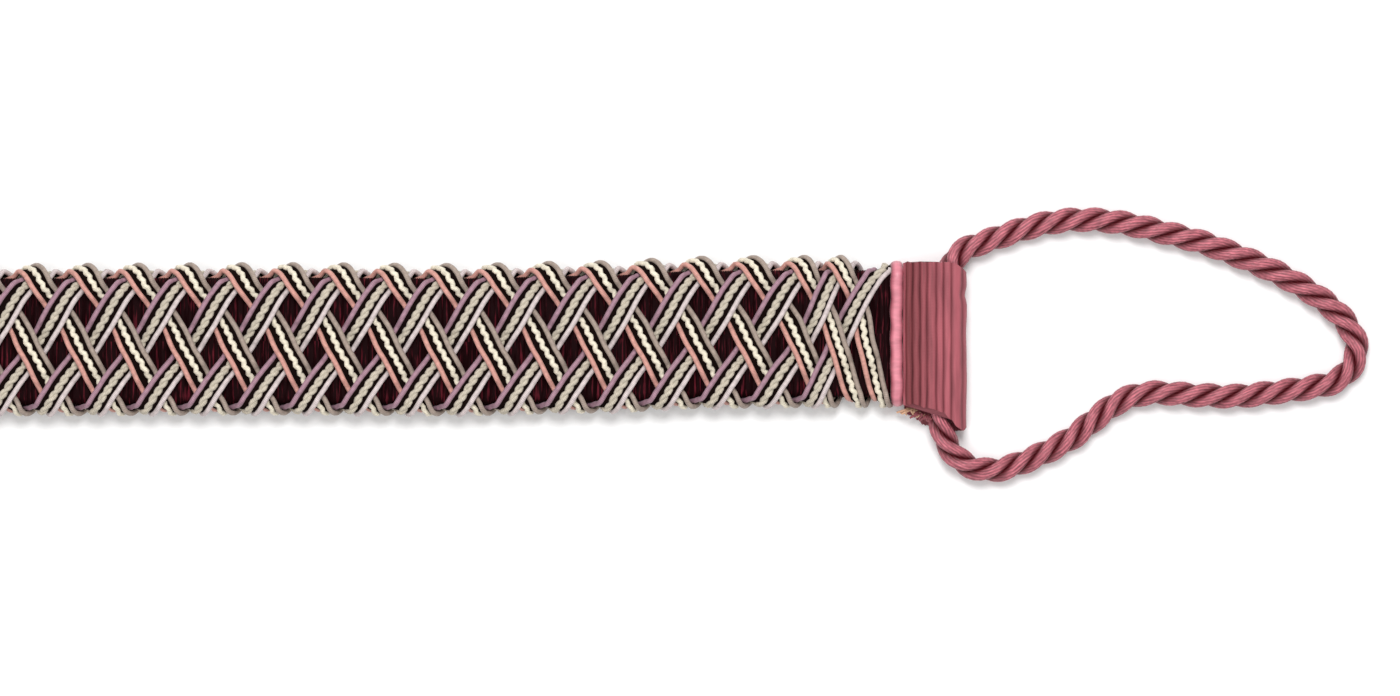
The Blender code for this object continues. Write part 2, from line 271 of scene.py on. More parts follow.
# The route of the right-hand loop: x, y and height of the rope's centre above its resting height, in mm.
LOOP_ROUTE = (
    (244.2, 0.5, 1.85),
    (244.7, 9.0, 1.85),
    (245.3, 17.0, 1.85),
    (246.3, 23.0, 1.85),
    (248.6, 28.0, 1.6),
    (253.0, 31.4, 1.2),
    (258.8, 33.4, 0.7),
    (266.0, 35.9, 0.3),
    (277.2, 39.2, 0.0),
    (288.1, 40.9, 0.0),
    (299.0, 40.8, 0.0),
    (310.0, 39.2, 0.0),
    (321.7, 36.4, 0.0),
    (333.7, 33.2, 0.0),
    (343.9, 29.5, 0.0),
    (354.5, 25.1, 0.0),
    (363.6, 20.6, 0.0),
    (372.6, 15.2, 0.0),
    (380.2, 9.2, 0.0),
    (385.3, 2.6, 0.0),
    (387.2, -4.2, 0.0),
    (384.6, -10.8, 0.0),
    (378.8, -15.2, 0.0),
    (370.4, -17.0, 0.0),
    (360.4, -18.4, 0.0),
    (345.5, -19.9, 0.0),
    (331.0, -19.5, 0.0),
    (316.4, -18.8, 0.0),
    (306.4, -21.2, 0.0),
    (298.0, -26.8, 0.0),
    (289.8, -33.6, 0.0),
    (281.0, -38.6, 0.0),
    (271.6, -42.8, 0.0),
    (262.2, -45.4, 0.0),
    (252.8, -43.8, 0.3),
    (246.2, -37.4, 1.0),
    (243.4, -29.0, 1.7),
    (243.4, -20.0, 1.85),
    (243.8, -10.0, 1.85),
    (244.2, -0.5, 1.85),
)

CAMERA_PLACE = Vector((160.3, -3.3, 2000.0)) * MM
VIEW_WIDTH = 483.0 * MM
SENSOR_WIDTH = 36.0
FLOOR_HEIGHT = -0.1 * MM
FLOOR_SIZE = 4.0
SKY_STRENGTH = 0.68
LAMP_AIM = Vector((0.15, 0, 0))

# The studio lamps: name, place and width in metres, and power in watts.
LAMPS = (
    ("key", (0.2, 0.75, 1.6), 0.8, 23.0),
    ("fill", (-0.4, -0.5, 1.7), 1.0, 6.0),
)

# Nearly all values of a Noise Texture lie in this range.
NOISE_SPREAD = (("From Min", 0.3), ("From Max", 0.7))


def linear(hex_colour):
    """Red, green and blue in linear light, from an sRGB hex colour."""
    levels = [int(hex_colour[i:i + 2], 16) / 255 for i in (1, 3, 5)]
    return [v / 12.92 if v <= 0.04045 else ((v + 0.055) / 1.055) ** 2.4 for v in levels]


def colour_property(name, description, hex_colour):
    """A colour that the user can change, set to an sRGB hex colour at first."""
    return bpy.props.FloatVectorProperty(
        name=name, description=description, default=linear(hex_colour), subtype="COLOR", min=0, max=1
    )


class TiebackSizes(bpy.types.PropertyGroup):
    """Sizes of the cords, ribs and rope."""

    plain_cord: bpy.props.FloatProperty(
        name="Plain Cord", description="Diameter of a smooth wrapped cord", default=1.75 * MM,
        min=0.5 * MM, max=2.3 * MM, unit="LENGTH",
    )
    cord_lead: bpy.props.FloatProperty(
        name="Cord Lead", description="One turn of a two-ply cord's twist, or two swings of the snaking cord",
        default=6.6 * MM, min=2 * MM, max=20 * MM, unit="LENGTH",
    )
    rib_height: bpy.props.FloatProperty(
        name="Rib Height", description="How far the cuff's ribs stand out", default=0.7 * MM,
        min=0, max=1 * MM, unit="LENGTH",
    )
    rope: bpy.props.FloatProperty(
        name="Rope", description="Diameter of the rope of the loops", default=8.6 * MM,
        min=4 * MM, max=9 * MM, unit="LENGTH",
    )
    rope_lead: bpy.props.FloatProperty(
        name="Rope Lead", description="Length of one full turn of the rope's twist", default=28 * MM,
        min=15 * MM, max=60 * MM, unit="LENGTH",
    )


class TiebackColours(bpy.types.PropertyGroup):
    """Colours of the threads and ribbons."""

    mauve: colour_property("Mauve", "Left-hand cord of a rising strip", "#9C7886")
    sage: colour_property("Sage", "Two-ply cord of a rising strip", "#BBB1A0")
    lilac: colour_property("Lilac", "Right-hand cord of a rising strip", "#C8BAB9")
    salmon: colour_property("Salmon", "Left-hand cord of a falling strip", "#C58F84")
    cream: colour_property("Cream", "Snaking cord of a falling strip", "#DDD4C0")
    taupe: colour_property("Taupe", "Right-hand cord of a falling strip", "#9A8A7F")
    # Painted shade: a strip's woven ground is near-black, standing for the shade in the gaps between its
    # cords.
    ground: colour_property("Ground", "Woven ground between a strip's cords", "#140806")
    # Painted shade and painted glints: the core's burgundy thread is near-black for the shade deep in the
    # plait, lit to wine red on single threads.
    core_painted_shade: colour_property("Core Dark", "Thread in the depth of the core", "#160305")
    core_painted_glint: colour_property("Core Light", "Threads of the core that catch the light", "#6A1F2C")
    satin: colour_property("Satin", "Satin of the piping", "#C97986")
    # Painted shade: the satin's darker colour on the roll's sides and underside, away from its crest.
    satin_side_shade: colour_property("Satin Edge", "Satin where it is sewn down", "#7A2836")
    ribbon: colour_property("Ribbon", "Ribbed ribbon of the cuffs", "#984E57")
    # The ribbon's browner, darker colour over the ribs nearest the piping.
    ribbon_beside_piping: colour_property("Pressed Ribbon", "Ribbon beside the piping", "#642629")
    frayed: colour_property("Frayed Thread", "Loose threads at the foot of a cuff", "#D9AC8C")
    rope: colour_property("Rope", "Threads of the rope", "#A05862")
    # Painted shade: the colour mixed into the grooves between the rope's strands.
    rope_groove_shade: colour_property("Rope Groove", "Depth between the rope's strands", "#4A0710")


def add_object(name, bm, finishes):
    """Makes an object of the finished mesh, with its faces outwards and its round parts shaded smooth."""
    if not bm.faces:
        raise RuntimeError(f"{name} has no faces")
    bmesh.ops.recalc_face_normals(bm, faces=bm.faces)
    mesh = bpy.data.meshes.new(name)
    bm.to_mesh(mesh)
    bm.free()
    mesh.shade_smooth()
    mesh.set_sharp_from_angle(angle=SHARP_ANGLE)
    for finish in finishes:
        mesh.materials.append(finish)
    obj = bpy.data.objects.new(name, mesh)
    bpy.context.scene.collection.objects.link(obj)
    return obj


def place_on_body(obj, slot, *nodes):
    """Lets the piece ride on the part's body in place of its solids."""
    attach(obj, "root")
    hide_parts(*nodes)


def new_bmesh():
    """An empty mesh to build in, with a layer of texture coordinates."""
    bm = bmesh.new()
    bm.loops.layers.uv.new("UVMap")
    return bm


def girth_of(rings):
    """The distance round a piece, at its middle ring."""
    ring = rings[len(rings) // 2]
    return sum((b - a).length for a, b in zip(ring, ring[1:] + ring[:1]))


def skin_rings(bm, rings, finish=0, ends=True):
    """Lays a closed grid through rings of points; its texture coordinates are millimetres round and along."""
    along, around = len(rings) - 1, len(rings[0])
    made = bmesh.ops.create_grid(bm, x_segments=around, y_segments=along, size=0.5, calc_uvs=True)["verts"]
    faces = {face for vert in made for face in vert.link_faces}
    girth = girth_of(rings) / MM
    length = sum((b[0] - a[0]).length for a, b in zip(rings, rings[1:])) / MM
    layer = bm.loops.layers.uv.active
    for face in faces:
        face.material_index = finish
        for loop in face.loops:
            u, v = loop[layer].uv
            loop[layer].uv = (u * girth, v * length)
    for vert in made:
        column = round((vert.co.x + 0.5) * around)
        row = round((vert.co.y + 0.5) * along)
        vert.co = rings[row][column % around]
    bmesh.ops.remove_doubles(bm, verts=made, dist=SAME_PLACE)
    if ends:
        rims = {edge for vert in made if vert.is_valid for edge in vert.link_edges if edge.is_boundary}
        bmesh.ops.holes_fill(bm, edges=list(rims))


def at_end(rings, side):
    """The rings as they are at the band's right-hand end, or turned half round for its left-hand end."""
    if side == "right":
        return rings
    return [[Vector((-p.x, -p.y, p.z)) for p in ring] for ring in rings]


def on_table(ring):
    """The ring with no point below the surface that the band lies on."""
    return [Vector((p.x, p.y, max(p.z, 0.0))) for p in ring]


def directions(points):
    """The direction of travel at each point of a line."""
    last = len(points) - 1
    return [(points[min(i + 1, last)] - points[max(i - 1, 0)]).normalized() for i in range(last + 1)]


def distances(points):
    """The distance travelled to each point of a line."""
    travelled = [0.0]
    for a, b in zip(points, points[1:]):
        travelled.append(travelled[-1] + (b - a).length)
    return travelled


def tube_rings(line, outs, radius, sides):
    """Rings of a round cord along a line; outs are the directions that point out of what it lies on."""
    turns = [2 * math.pi * i / sides for i in range(sides)]
    rings = []
    for point, out, ahead in zip(line, outs, directions(line)):
        side = ahead.cross(out).normalized()
        up = side.cross(ahead)
        rings.append(on_table([point + radius * (side * math.cos(a) + up * math.sin(a)) for a in turns]))
    return rings


def twisted_line(line, outs, radius, lead, phase):
    """A line that winds round another, one turn each lead, half as far up and down as to the sides."""
    wound = []
    for point, out, ahead, way in zip(line, outs, directions(line), distances(line)):
        side = ahead.cross(out).normalized()
        angle = phase + 2 * math.pi * way / lead
        wound.append(point + radius * (0.5 * out * math.cos(angle) + side * math.sin(angle)))
    return wound


def eased(share):
    """The share, kept between 0 and 1 and made to start and stop gently."""
    share = min(1.0, max(0.0, share))
    return share * share * (3 - 2 * share)


def read_table(table, place, column=1):
    """The value in a table's column at a place, eased from each row of the table to the next."""
    for low, high in zip(table, table[1:]):
        if place <= high[0]:
            share = eased((place - low[0]) / (high[0] - low[0]))
            return low[column] + (high[column] - low[column]) * share
    return table[-1][column]


def centre_y(x):
    """The y of the band's centreline at x."""
    return read_table(CENTRELINE, x / MM) * MM


def section_point(along, offset):
    """(y, z) from the band's axis, of a point offset outside the sleeve's middle surface."""
    radius = EDGE_RADIUS + offset
    half_turns, along = divmod(along + HALF_FLAT, GIRTH / 2)
    if along <= 2 * HALF_FLAT:
        y, z = along - HALF_FLAT, radius
    else:
        angle = (along - 2 * HALF_FLAT) / EDGE_RADIUS
        y, z = HALF_FLAT + radius * math.sin(angle), radius * math.cos(angle)
    return (-y, -z) if half_turns % 2 else (y, z)


def round_sleeve(x, along, offset):
    """The point at x, at a distance round the sleeve from the middle of its face."""
    y, z = section_point(along, offset)
    return Vector((x, centre_y(x) + y, SLEEVE_CENTRE_Z + z))


def rows_from(row, other):
    """How many rows a place lies past another, the short way round the sleeve."""
    return (row - other + ROWS_ROUND / 2) % ROWS_ROUND - ROWS_ROUND / 2


def girth_position(row):
    """Distance round the sleeve of a place counted in crossing rows."""
    turn = 2 * math.pi * row / ROWS_ROUND
    drawn = LOWER_DRAW * math.exp(-((rows_from(row, LOWER_ROW) / LOWER_REACH) ** 2))
    return FIRST_ROW_Y + row * GIRTH / ROWS_ROUND + FRONT_STRETCH * math.sin(turn) - drawn


def plait_x(even_x, row):
    """(x, times tighter) where a place of the even plait really lies: closer together near the ends."""
    beyond = abs(even_x) - TIGHTEN_START
    if beyond <= 0:
        return even_x, 1.0
    root = math.sqrt(1 + 4 * TIGHTEN_RATE * beyond)
    x = math.copysign(TIGHTEN_START + (root - 1) / (2 * TIGHTEN_RATE), even_x)
    on_top = max(0.0, math.sin(2 * math.pi * row / ROWS_ROUND)) ** 2
    near_end = min(1.0, max(0.0, (even_x - LEAN_START) / LEAN_RUN))
    return x + LEAN * near_end * on_top, root


def weave(crossings, way):
    """1 where a strip lies over and -1 where it lies under: rising ones are over at odd crossings."""
    distance = abs((crossings + (way == FALLING)) % 2 - 1)
    return 1 - 2 * eased((distance - OVER) / (1 - OVER - UNDER))


def edge_lift(row, way, across):
    """How far a strip stands out from its even weave, or is drawn in, along the band's edges."""
    upper = eased(1 - abs(rows_from(row, PROUD_ROW)) / PROUD_REACH)
    if way == RISING:
        return -RISING_DRAWN_IN * upper
    drawn = sum(eased(1 - abs(rows_from(row, place)) / reach) for place, reach in DRAWN_IN_PLACES)
    return (PROUD + PROUD_SLOPE * across) * upper - DRAWN_IN * drawn


def strip_rows(number, way):
    """The places round the sleeve, in rows, of a strip's stations, from its left end to its right end."""
    past_end = PLAIT_END + RUN_ON
    ends = [2 * way * ((x - FIRST_CROSSING_X) / PITCH - (number - 1)) for x in (-past_end, past_end)]
    first, last = sorted(ends)
    if way == RISING:
        last = TUCKS[way].get(number, last)
    else:
        first = TUCKS[way].get(number, first)
    count = math.ceil((last - first) * STATIONS_PER_ROW)
    rows = [first + (last - first) * i / count for i in range(count + 1)]
    return rows if way == RISING else rows[::-1]


def sway(way, row):
    """How far a strip sways aside at a crossing row."""
    return read_table(SWAY[way], rows_from(row, 0)) * MM


def strip_place(number, way, row, across, height=0.0):
    """(x, distance round the sleeve, offset from it) of a place on a strip, across from its middle."""
    even_x = FIRST_CROSSING_X + PITCH * (number - 1 + way * row / 2) + sway(way, row)
    x, tighter = plait_x(even_x, row)
    aside = across * max(TIGHTEST[way], 1 / tighter)
    met_at = row + (sway(RISING, row) - sway(FALLING, row)) / PITCH
    lift = WEAVE_LIFT * weave(aside * tighter / PITCH + way * met_at, way) + edge_lift(row, way, across)
    return x + aside, girth_position(row), lift + height


def strip_line(number, way, across):
    """(points, directions out of the sleeve) of a line that runs along a strip, across from its middle."""
    places = [strip_place(number, way, row, across) for row in strip_rows(number, way)]
    places = [place for place in places if abs(place[0]) <= PLAIT_END]
    line = [round_sleeve(x, along, lift) for x, along, lift in places]
    further = [round_sleeve(x, along, lift + MM) for x, along, lift in places]
    return line, [(b - a).normalized() for a, b in zip(line, further)]


def wander(line, seed):
    """Moves a cord's line a little from side to side, as hand-laid cords lie."""
    return [
        point + Vector((CORD_WANDER * noise.noise(Vector((way / WANDER_LENGTH, seed, 0.5))), 0, 0))
        for point, way in zip(line, distances(line))
    ]


def snaking_line(line, outs, amount, period):
    """A line that swings from side to side, one swing each period."""
    swung = []
    for point, out, ahead, way in zip(line, outs, directions(line), distances(line)):
        swung.append(point + ahead.cross(out).normalized() * amount * math.sin(2 * math.pi * way / period))
    return swung


def add_cord(bm, number, way, cord, finish, sizes):
    """Adds one cord of a strip: a smooth wrapped one, a snaking one, or two plies twisted together."""
    across, kind, _ = cord
    radius = sizes.plain_cord / 2
    line, outs = strip_line(number, way, across * MM)
    line = wander(line, 3 * number + across + 10 * way)
    if kind == "plain":
        skin_rings(bm, tube_rings(line, outs, radius, CORD_SIDES), finish)
    elif kind == "snaking":
        snaking = snaking_line(line, outs, SNAKE_SWING, sizes.cord_lead / 2)
        skin_rings(bm, tube_rings(snaking, outs, SNAKE_THICKNESS * radius, CORD_SIDES), finish)
    else:
        for phase in (0.0, math.pi):
            ply = twisted_line(line, outs, PLY_SWING, sizes.cord_lead, phase)
            skin_rings(bm, tube_rings(ply, outs, PLY_THICKNESS * radius, PLY_SIDES), finish)


def add_ground(bm, number, way, finish):
    """Adds the flat woven sheet that holds a strip's cords together; near-black as painted shade between
    cords.
    """
    middles = [across * MM for across, _, _ in CORDS[way]]
    places = [(across, GROUND_TOP) for across in middles]
    places += [(across, GROUND_FOOT) for across in middles[::-1]]
    rings = []
    for row in strip_rows(number, way):
        corners = [strip_place(number, way, row, across, height) for across, height in places]
        if min(abs(x) for x, _, _ in corners) > PLAIT_END:
            continue
        cut = [(max(-PLAIT_END, min(x, PLAIT_END)), along, lift) for x, along, lift in corners]
        rings.append(on_table([round_sleeve(*corner) for corner in cut]))
    skin_rings(bm, rings, finish)


def make_strip(number, way, sizes, finishes):
    """One strip of the plait: three cords side by side on a woven sheet, near-black as painted shade between
    them.
    """
    bm = new_bmesh()
    for finish, cord in enumerate(CORDS[way]):
        add_cord(bm, number, way, cord, finish, sizes)
    add_ground(bm, number, way, len(CORDS[way]))
    kind = KINDS[way]
    strip = add_object(f"{kind}_corded_strip_{number}", bm, finishes)
    place_on_body(strip, f"{kind}_gimp", f"{kind}_strip_{number}")


def core_rings():
    """Rings of the core's wound threads, a low one and a high one for each thread."""
    steps = round(2 * CORE_END / (CORE_THREAD / 2))
    around = [GIRTH * i / CORE_STATIONS for i in range(CORE_STATIONS)]
    patch_length, patch_width = CORE_PATCH
    rings = []
    for step in range(steps + 1):
        x = -CORE_END + 2 * CORE_END * step / steps
        ring = []
        for along in around:
            stray = noise.noise(Vector((x / patch_length, along / patch_width, 0)))
            ridge = (CORE_RIDGE + CORE_RIDGE_CHANGE * stray) * MM if step % 2 else CORE_GROOVE
            ring.append(round_sleeve(x + CORE_STRAY * stray, along, CORE_OFFSET + ridge))
        rings.append(ring)
    return rings


def piping_rings():
    """Rings round a satin roll, one at each of its stations round the core."""
    rings = []
    for i in range(PIPING_STATIONS + 1):
        along = GIRTH * i / PIPING_STATIONS
        y, _ = section_point(along, 0)
        bow = PIPING_BOW * math.cos(math.pi * y / SLEEVE_WIDTH)
        station = i % PIPING_STATIONS
        ripple = PIPING_RIPPLE * math.sin(2 * math.pi * station / RIPPLE_STATIONS)
        ring = []
        for side in range(PIPING_SIDES):
            angle = -2 * math.pi * side / PIPING_SIDES
            swell = 1 + PIPING_SWELL * math.sin(2 * math.pi * station / SWELL_STATIONS + side)
            offset = (PIPING_CREST + PIPING_FOOT) / 2
            offset += (PIPING_CREST - PIPING_FOOT) / 2 * swell * math.sin(angle)
            x = PIPING_MIDDLE - bow + ripple + PIPING_HALF_WIDTH * swell * math.cos(angle)
            ring.append(round_sleeve(x, along, offset))
        rings.append(ring)
    return rings


def ribbed(place, rib_height):
    """How far the ribbon's face lies below a rib's crest; a rib is one unit long."""
    return rib_height * (abs(math.sin(math.pi * place)) ** RIB_FULLNESS - 1)


def cuff_profile(rib_height):
    """The folded ribbon's outline seen along Y, as (x, z): ribbed face, fold, underside, inside."""
    last_groove = len(RIB_GROOVES) - 1
    face, underside = [], []
    for i in range(last_groove * POINTS_PER_RIB + 1):
        rib, step = divmod(i, POINTS_PER_RIB)
        left, right = RIB_GROOVES[rib], RIB_GROOVES[min(rib + 1, last_groove)]
        x = CUFF_START + (left + (right - left) * step / POINTS_PER_RIB) * MM
        below = ribbed(i / POINTS_PER_RIB, rib_height)
        face.append((x, CUFF_THICKNESS + below))
        underside.append((x, -below * UNDERSIDE_RELIEF))
    fold_x, middle = CUFF_END - CUFF_FOLD, CUFF_THICKNESS / 2
    fold, inside_fold = [], []
    for i in range(1, FOLD_RIBS * POINTS_PER_RIB):
        angle = math.pi * i / (FOLD_RIBS * POINTS_PER_RIB)
        below = ribbed(i / POINTS_PER_RIB, FOLD_RELIEF * rib_height)
        for points, inwards in ((fold, -below), (inside_fold, CUFF_WALL)):
            x = fold_x + (CUFF_FOLD - inwards) * math.sin(angle)
            points.append((x, middle + (middle - inwards) * math.cos(angle)))
    inside = [(CUFF_START, CUFF_WALL), (fold_x, CUFF_WALL), *inside_fold[::-1]]
    inside += [(x, CUFF_THICKNESS - CUFF_WALL) for x in (fold_x, CUFF_START, CUFF_START - CUFF_TUCK)]
    return face + fold + underside[::-1] + inside


def cuff_foot(share, on_face):
    """The y of the ribbon's foot at a share of the cuff's length; on_face is 1 on its face, 0 underneath."""
    face, under = read_table(CUFF_FOOT, share, 1), read_table(CUFF_FOOT, share, 2)
    return (under + (face - under) * on_face) * MM


def cuff_reach(x, z):
    """(lowest y, highest y) of the ribbon at a point of its outline."""
    share = (x - CUFF_START) / (CUFF_END - CUFF_START)
    on_face = eased(2 * z / CUFF_THICKNESS - 0.5)
    ragged = noise.noise(Vector((x / RAGGED_LENGTH, 2 * on_face, 4.0)))
    ragged *= (RAGGED_UNDERSIDE + (RAGGED_FACE - RAGGED_UNDERSIDE) * on_face) * MM
    corner = max(0.0, (share - CORNER_START) / (1 - CORNER_START))
    scallop = SCALLOP * noise.noise(Vector((x / SCALLOP_LENGTH, 7.0, 1.0)))
    return cuff_foot(share, on_face) + ragged, CUFF_TOP - CORNER_DROP * corner**2 + scallop


def cuff_rings(rib_height):
    """Rings round the folded ribbon, from its foot to its top."""
    patch_length, patch_width = DRIFT_PATCH
    outline = [(x, z, *cuff_reach(x, z)) for x, z in cuff_profile(rib_height)]
    rings = []
    for i in range(CUFF_STATIONS + 1):
        ring = []
        for x, z, foot, top in outline:
            y = foot + (top - foot) * i / CUFF_STATIONS
            on_fold = eased((x - CUFF_END + CUFF_FOLD) / CUFF_FOLD)
            notch = NOTCH_DEPTH * math.exp(-(((y - NOTCH_Y) / NOTCH_WIDTH) ** 2))
            drift = RIBBON_DRIFT * noise.noise(Vector((x / patch_length, y / patch_width, 2.0)))
            ring.append(Vector((x - on_fold * (notch + FOLD_SET_BACK) + drift, y, z)))
        rings.append(ring)
    return rings


def fray_lines():
    """(line, whether its thread is a pale one) of each loose thread at the cuff's ragged foot."""
    lines = []
    for i in range(FRAYS):
        share = FRAY_START + FRAY_SPAN * i / FRAYS
        x = CUFF_START + share * (CUFF_END - CUFF_START)
        start = Vector((x, cuff_foot(share, FRAY_ON_FACE), FRAY_HEIGHT))
        aside, down, up = [noise.noise(Vector((1.3 * i, 4.7 * axis, 0.5))) for axis in range(3)]
        # How far the thread reaches and how far it bends aside on its way, in millimetres.
        reach = Vector((5 * aside - 0.8, -1.4 - 2 * abs(down), -1.5 + 2 * up)) * MM
        bend = Vector((1.5 * down, 0.6 * up, 1.0)) * MM
        line = [start + reach * t + bend * 4 * t * (1 - t) for t in (0, 0.2, 0.4, 0.6, 0.8, 1)]
        lines.append((line, share < FRAY_PALE_END or i % 4 == 0))
    return lines


def curve_through(route, step):
    """Points an even step apart on the smooth curve through the route's points."""
    fine = []
    padded = [2 * route[0] - route[1], *route, 2 * route[-1] - route[-2]]
    for p0, p1, p2, p3 in zip(padded, padded[1:], padded[2:], padded[3:]):
        for i in range(CURVE_STEPS):
            t = i / CURVE_STEPS
            bend = 2 * p0 - 5 * p1 + 4 * p2 - p3
            swing = 3 * (p1 - p2) + p3 - p0
            fine.append(0.5 * (2 * p1 + (p2 - p0) * t + bend * t * t + swing * t**3))
    fine.append(route[-1].copy())
    ways = distances(fine)
    count = round(ways[-1] / step)
    even, reached = [], 0
    for i in range(count):
        target = ways[-1] * i / count
        while ways[reached + 1] < target:
            reached += 1
        share = (target - ways[reached]) / (ways[reached + 1] - ways[reached])
        even.append(fine[reached].lerp(fine[reached + 1], share))
    return even + [fine[-1]]


def rope_rings(line, radius, lead):
    """Rings of a three-strand rope: each strand is a half-round lobe whose yarns stand out a little."""
    rings = []
    for point, ahead, way in zip(line, directions(line), distances(line)):
        side = UP.cross(ahead).normalized()
        up = ahead.cross(side).normalized()
        ring = []
        for strand in range(ROPE_STRANDS):
            middle = -2 * math.pi * way / lead + 2 * math.pi * (strand + 0.5) / ROPE_STRANDS
            for i in range(STRAND_POINTS):
                share = i / STRAND_POINTS * 2 - 1
                lobe = math.cos(share * LOBE_ANGLE * LOBE_SHARE) ** LOBE_FULLNESS
                yarn = math.cos(2 * math.pi * (YARNS_PER_STRAND * share / 2 + way / (YARN_LEAD * lead)))
                reach = radius * (lobe + YARN_RELIEF * yarn * (1 - share**4))
                angle = middle + share * math.pi / ROPE_STRANDS
                ring.append(point + reach * (side * math.cos(angle) + up * math.sin(angle)))
        rings.append(on_table(ring))
    return rings


def add_node(tree, kind, output, links=(), **settings):
    """Adds a node and gives one of its outputs; links are pairs of an input and a value or an output."""
    node = tree.nodes.new("ShaderNode" + kind)
    for field, value in settings.items():
        setattr(node, field, value)
    for socket, value in links:
        if isinstance(value, bpy.types.NodeSocket):
            tree.links.new(value, node.inputs[socket])
        else:
            node.inputs[socket].default_value = value
    return node.outputs[output]


def new_material(name, roughness, sheen, specular):
    """A material with only its shader: (material, node tree, shader)."""
    made = bpy.data.materials.new(name)
    made.use_nodes = True
    tree = made.node_tree
    shader = tree.nodes["Principled BSDF"]
    shader.inputs["Roughness"].default_value = roughness
    shader.inputs["Sheen Weight"].default_value = sheen
    shader.inputs["Sheen Roughness"].default_value = 0.4
    shader.inputs["Specular IOR Level"].default_value = specular
    return made, tree, shader


def shade_of(colour, factor):
    """The colour made darker or lighter, with its alpha."""
    return (*[min(1.0, level * factor) for level in colour], 1)


def wave_scale(period):
    """The setting of a Wave Texture that repeats each period, in the units of its coordinates."""
    return 2 * math.pi / (20 * period)


def wound_thread(name, colour, contrast=0.8, roughness=0.55, sheen=0.1, specular=0.3):
    """Viscose thread wound close round a cord."""
    # A soft lustre, turns that slant a little round the cord, each darker in the valley next to it as painted
    # shade, and a dye that is uneven from place to place.
    # The real turns are about 0.2 mm apart and are drawn 0.45 mm apart, so that they show.
    made, tree, shader = new_material(name, roughness, sheen, specular)
    place = add_node(tree, "UVMap", "UV", uv_map="UVMap")
    slanted = add_node(tree, "Mapping", "Vector", [("Vector", place), ("Rotation", (0, 0, 1.45))])
    turns = add_node(
        tree, "TexWave", "Fac",
        [("Vector", slanted), ("Scale", wave_scale(0.45)), ("Distortion", 0.8), ("Detail Scale", 2)],
        bands_direction="X",
    )
    patches = add_node(tree, "TexNoise", "Fac", [("Vector", place), ("Scale", 0.7), ("Detail", 3.0)])
    # Painted shade: the turns are darkened by contrast in the valleys between them and a little lighter on
    # their crests.
    wound = add_node(
        tree, "Mix", "Result",
        [("Factor", turns), ("A", shade_of(colour, contrast)), ("B", shade_of(colour, 1.08))],
        data_type="RGBA",
    )
    dye = add_node(
        tree, "MapRange", "Result",
        [("Value", patches), *NOISE_SPREAD, ("To Min", 0.78), ("To Max", 1.16)],
    )
    tone = add_node(tree, "VectorMath", "Vector", [(0, wound), ("Scale", dye)], operation="SCALE")
    bump = add_node(tree, "Bump", "Normal", [("Height", turns), ("Strength", 0.5), ("Distance", 0.07 * MM)])
    tree.links.new(tone, shader.inputs["Base Color"])
    tree.links.new(bump, shader.inputs["Normal"])
    return made


def core_thread(dark, light):
    """Burgundy viscose thread wound round the padded core."""
    # Painted shade and painted glints: the burgundy thread is coloured almost black for the shade in the depth
    # of the plait, and single threads 0.8 mm apart are lifted to a wine red where they catch the light.
    made, tree, shader = new_material("burgundy viscose thread, wound", 0.7, 0.0, 0.05)
    place = add_node(tree, "UVMap", "UV", uv_map="UVMap")
    along = add_node(tree, "Mapping", "Vector", [("Vector", place), ("Scale", (0.11, 1.0, 1))])
    streaks = add_node(tree, "TexNoise", "Fac", [("Vector", along), ("Scale", 1.0), ("Detail", 4.0)])
    # Painted glints: where this noise is high, a thread takes the lighter, lit colour.
    lit = add_node(tree, "MapRange", "Result", [("Value", streaks), ("From Min", 0.54), ("From Max", 0.78)])
    tone = add_node(
        tree, "Mix", "Result", [("Factor", lit), ("A", (*dark, 1)), ("B", (*light, 1))],
        data_type="RGBA",
    )
    tree.links.new(tone, shader.inputs["Base Color"])
    return made


def rolled_satin(colour, edge, girth):
    """Rayon satin rolled over a filler cord."""
    # Long floats give a soft lustre along the roll; towards its edges, where it is sewn down, the colour is
    # mixed towards a deep red as painted shade, so the roll's sides and underside are darker than its crest.
    made, tree, shader = new_material("rayon satin, rolled", 0.4, 0.2, 0.4)
    place = add_node(tree, "UVMap", "UV", uv_map="UVMap")
    round_roll = add_node(tree, "SeparateXYZ", "X", [("Vector", place)])
    from_crest = add_node(tree, "Math", "Value", [(0, round_roll), (1, 0.75 * girth)], operation="SUBTRACT")
    aside = add_node(tree, "Math", "Value", [(0, from_crest)], operation="ABSOLUTE")
    # Painted shade mask: 0 along the roll's crest, rising to 1 over its sides and underside.
    painted_side_shade = add_node(
        tree, "MapRange", "Result",
        [("Value", aside), ("From Min", 0.05 * girth), ("From Max", 0.2 * girth)],
    )
    pulled = add_node(tree, "Mapping", "Vector", [("Vector", place), ("Scale", (0.25, 0.7, 1))])
    puckers = add_node(tree, "TexNoise", "Fac", [("Vector", pulled), ("Scale", 0.8), ("Detail", 3.0)])
    shade = add_node(
        tree, "MapRange", "Result",
        [("Value", puckers), *NOISE_SPREAD, ("To Min", 0.8), ("To Max", 1.16)],
    )
    across = add_node(
        tree, "Mix", "Result", [("Factor", painted_side_shade), ("A", (*colour, 1)), ("B", (*edge, 1))],
        data_type="RGBA",
    )
    tone = add_node(tree, "VectorMath", "Vector", [(0, across), ("Scale", shade)], operation="SCALE")
    bump = add_node(tree, "Bump", "Normal", [("Height", puckers), ("Strength", 0.5), ("Distance", 0.25 * MM)])
    tree.links.new(tone, shader.inputs["Base Color"])
    tree.links.new(bump, shader.inputs["Normal"])
    return made


